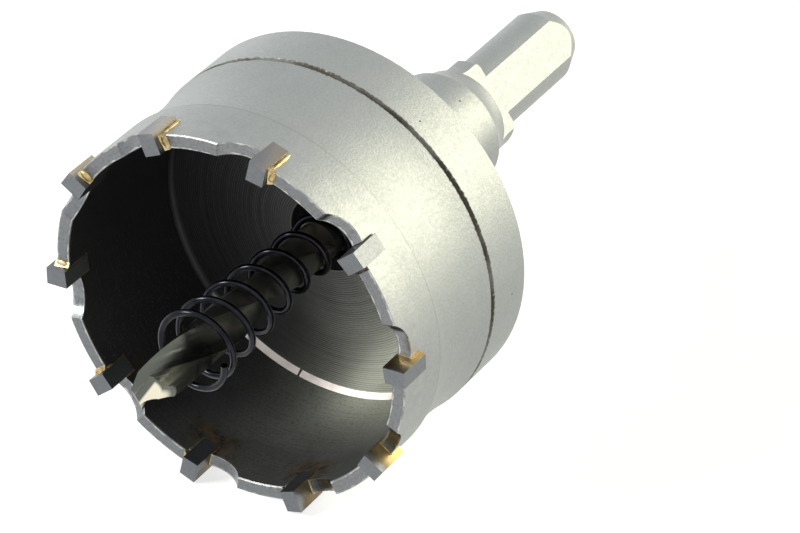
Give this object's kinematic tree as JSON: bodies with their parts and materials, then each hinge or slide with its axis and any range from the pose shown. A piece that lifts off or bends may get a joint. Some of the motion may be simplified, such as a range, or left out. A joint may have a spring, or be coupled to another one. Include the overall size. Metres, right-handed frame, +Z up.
{
  "type": "hole saw",
  "caption": "Carbide-tipped hole saw: a short cutter cup with brazed teeth, a pilot drill, an ejector spring and a three-flat shank.",
  "frame": {"origin": "level with the lowest point of the flange, under the middle of the saw's length and width", "axes": "+Y along the saw's axis towards the shank, -Y towards the teeth, +Z up"},
  "size_m": [0.06, 0.1088, 0.0582],
  "materials": {
    "ring_steel": "turned and ground, fine blasted satin outside",
    "head_steel": "turned, fine blasted satin",
    "carbide": "ground tungsten carbide",
    "braze": "bright as run",
    "drill_steel": "black oxide with a ground point",
    "spring_steel": "blackened spring wire",
    "screw_steel": "black oxide"
  },
  "bodies": {
    "root": {"cutter_ring": "ring_steel", "head": "head_steel", "corner_braze": "braze", "pilot_drill": "drill_steel", "ejector_spring": "spring_steel", "set_screw": "screw_steel", "carbide_tip_01": "carbide", "tip_braze_01": "braze", "carbide_tip_02": "carbide", "tip_braze_02": "braze", "carbide_tip_03": "carbide", "tip_braze_03": "braze", "carbide_tip_04": "carbide", "tip_braze_04": "braze", "carbide_tip_05": "carbide", "tip_braze_05": "braze", "carbide_tip_06": "carbide", "tip_braze_06": "braze", "carbide_tip_07": "carbide", "tip_braze_07": "braze", "carbide_tip_08": "carbide", "tip_braze_08": "braze", "carbide_tip_09": "carbide", "tip_braze_09": "braze", "carbide_tip_10": "carbide", "tip_braze_10": "braze"}
  },
  "joints": []
}
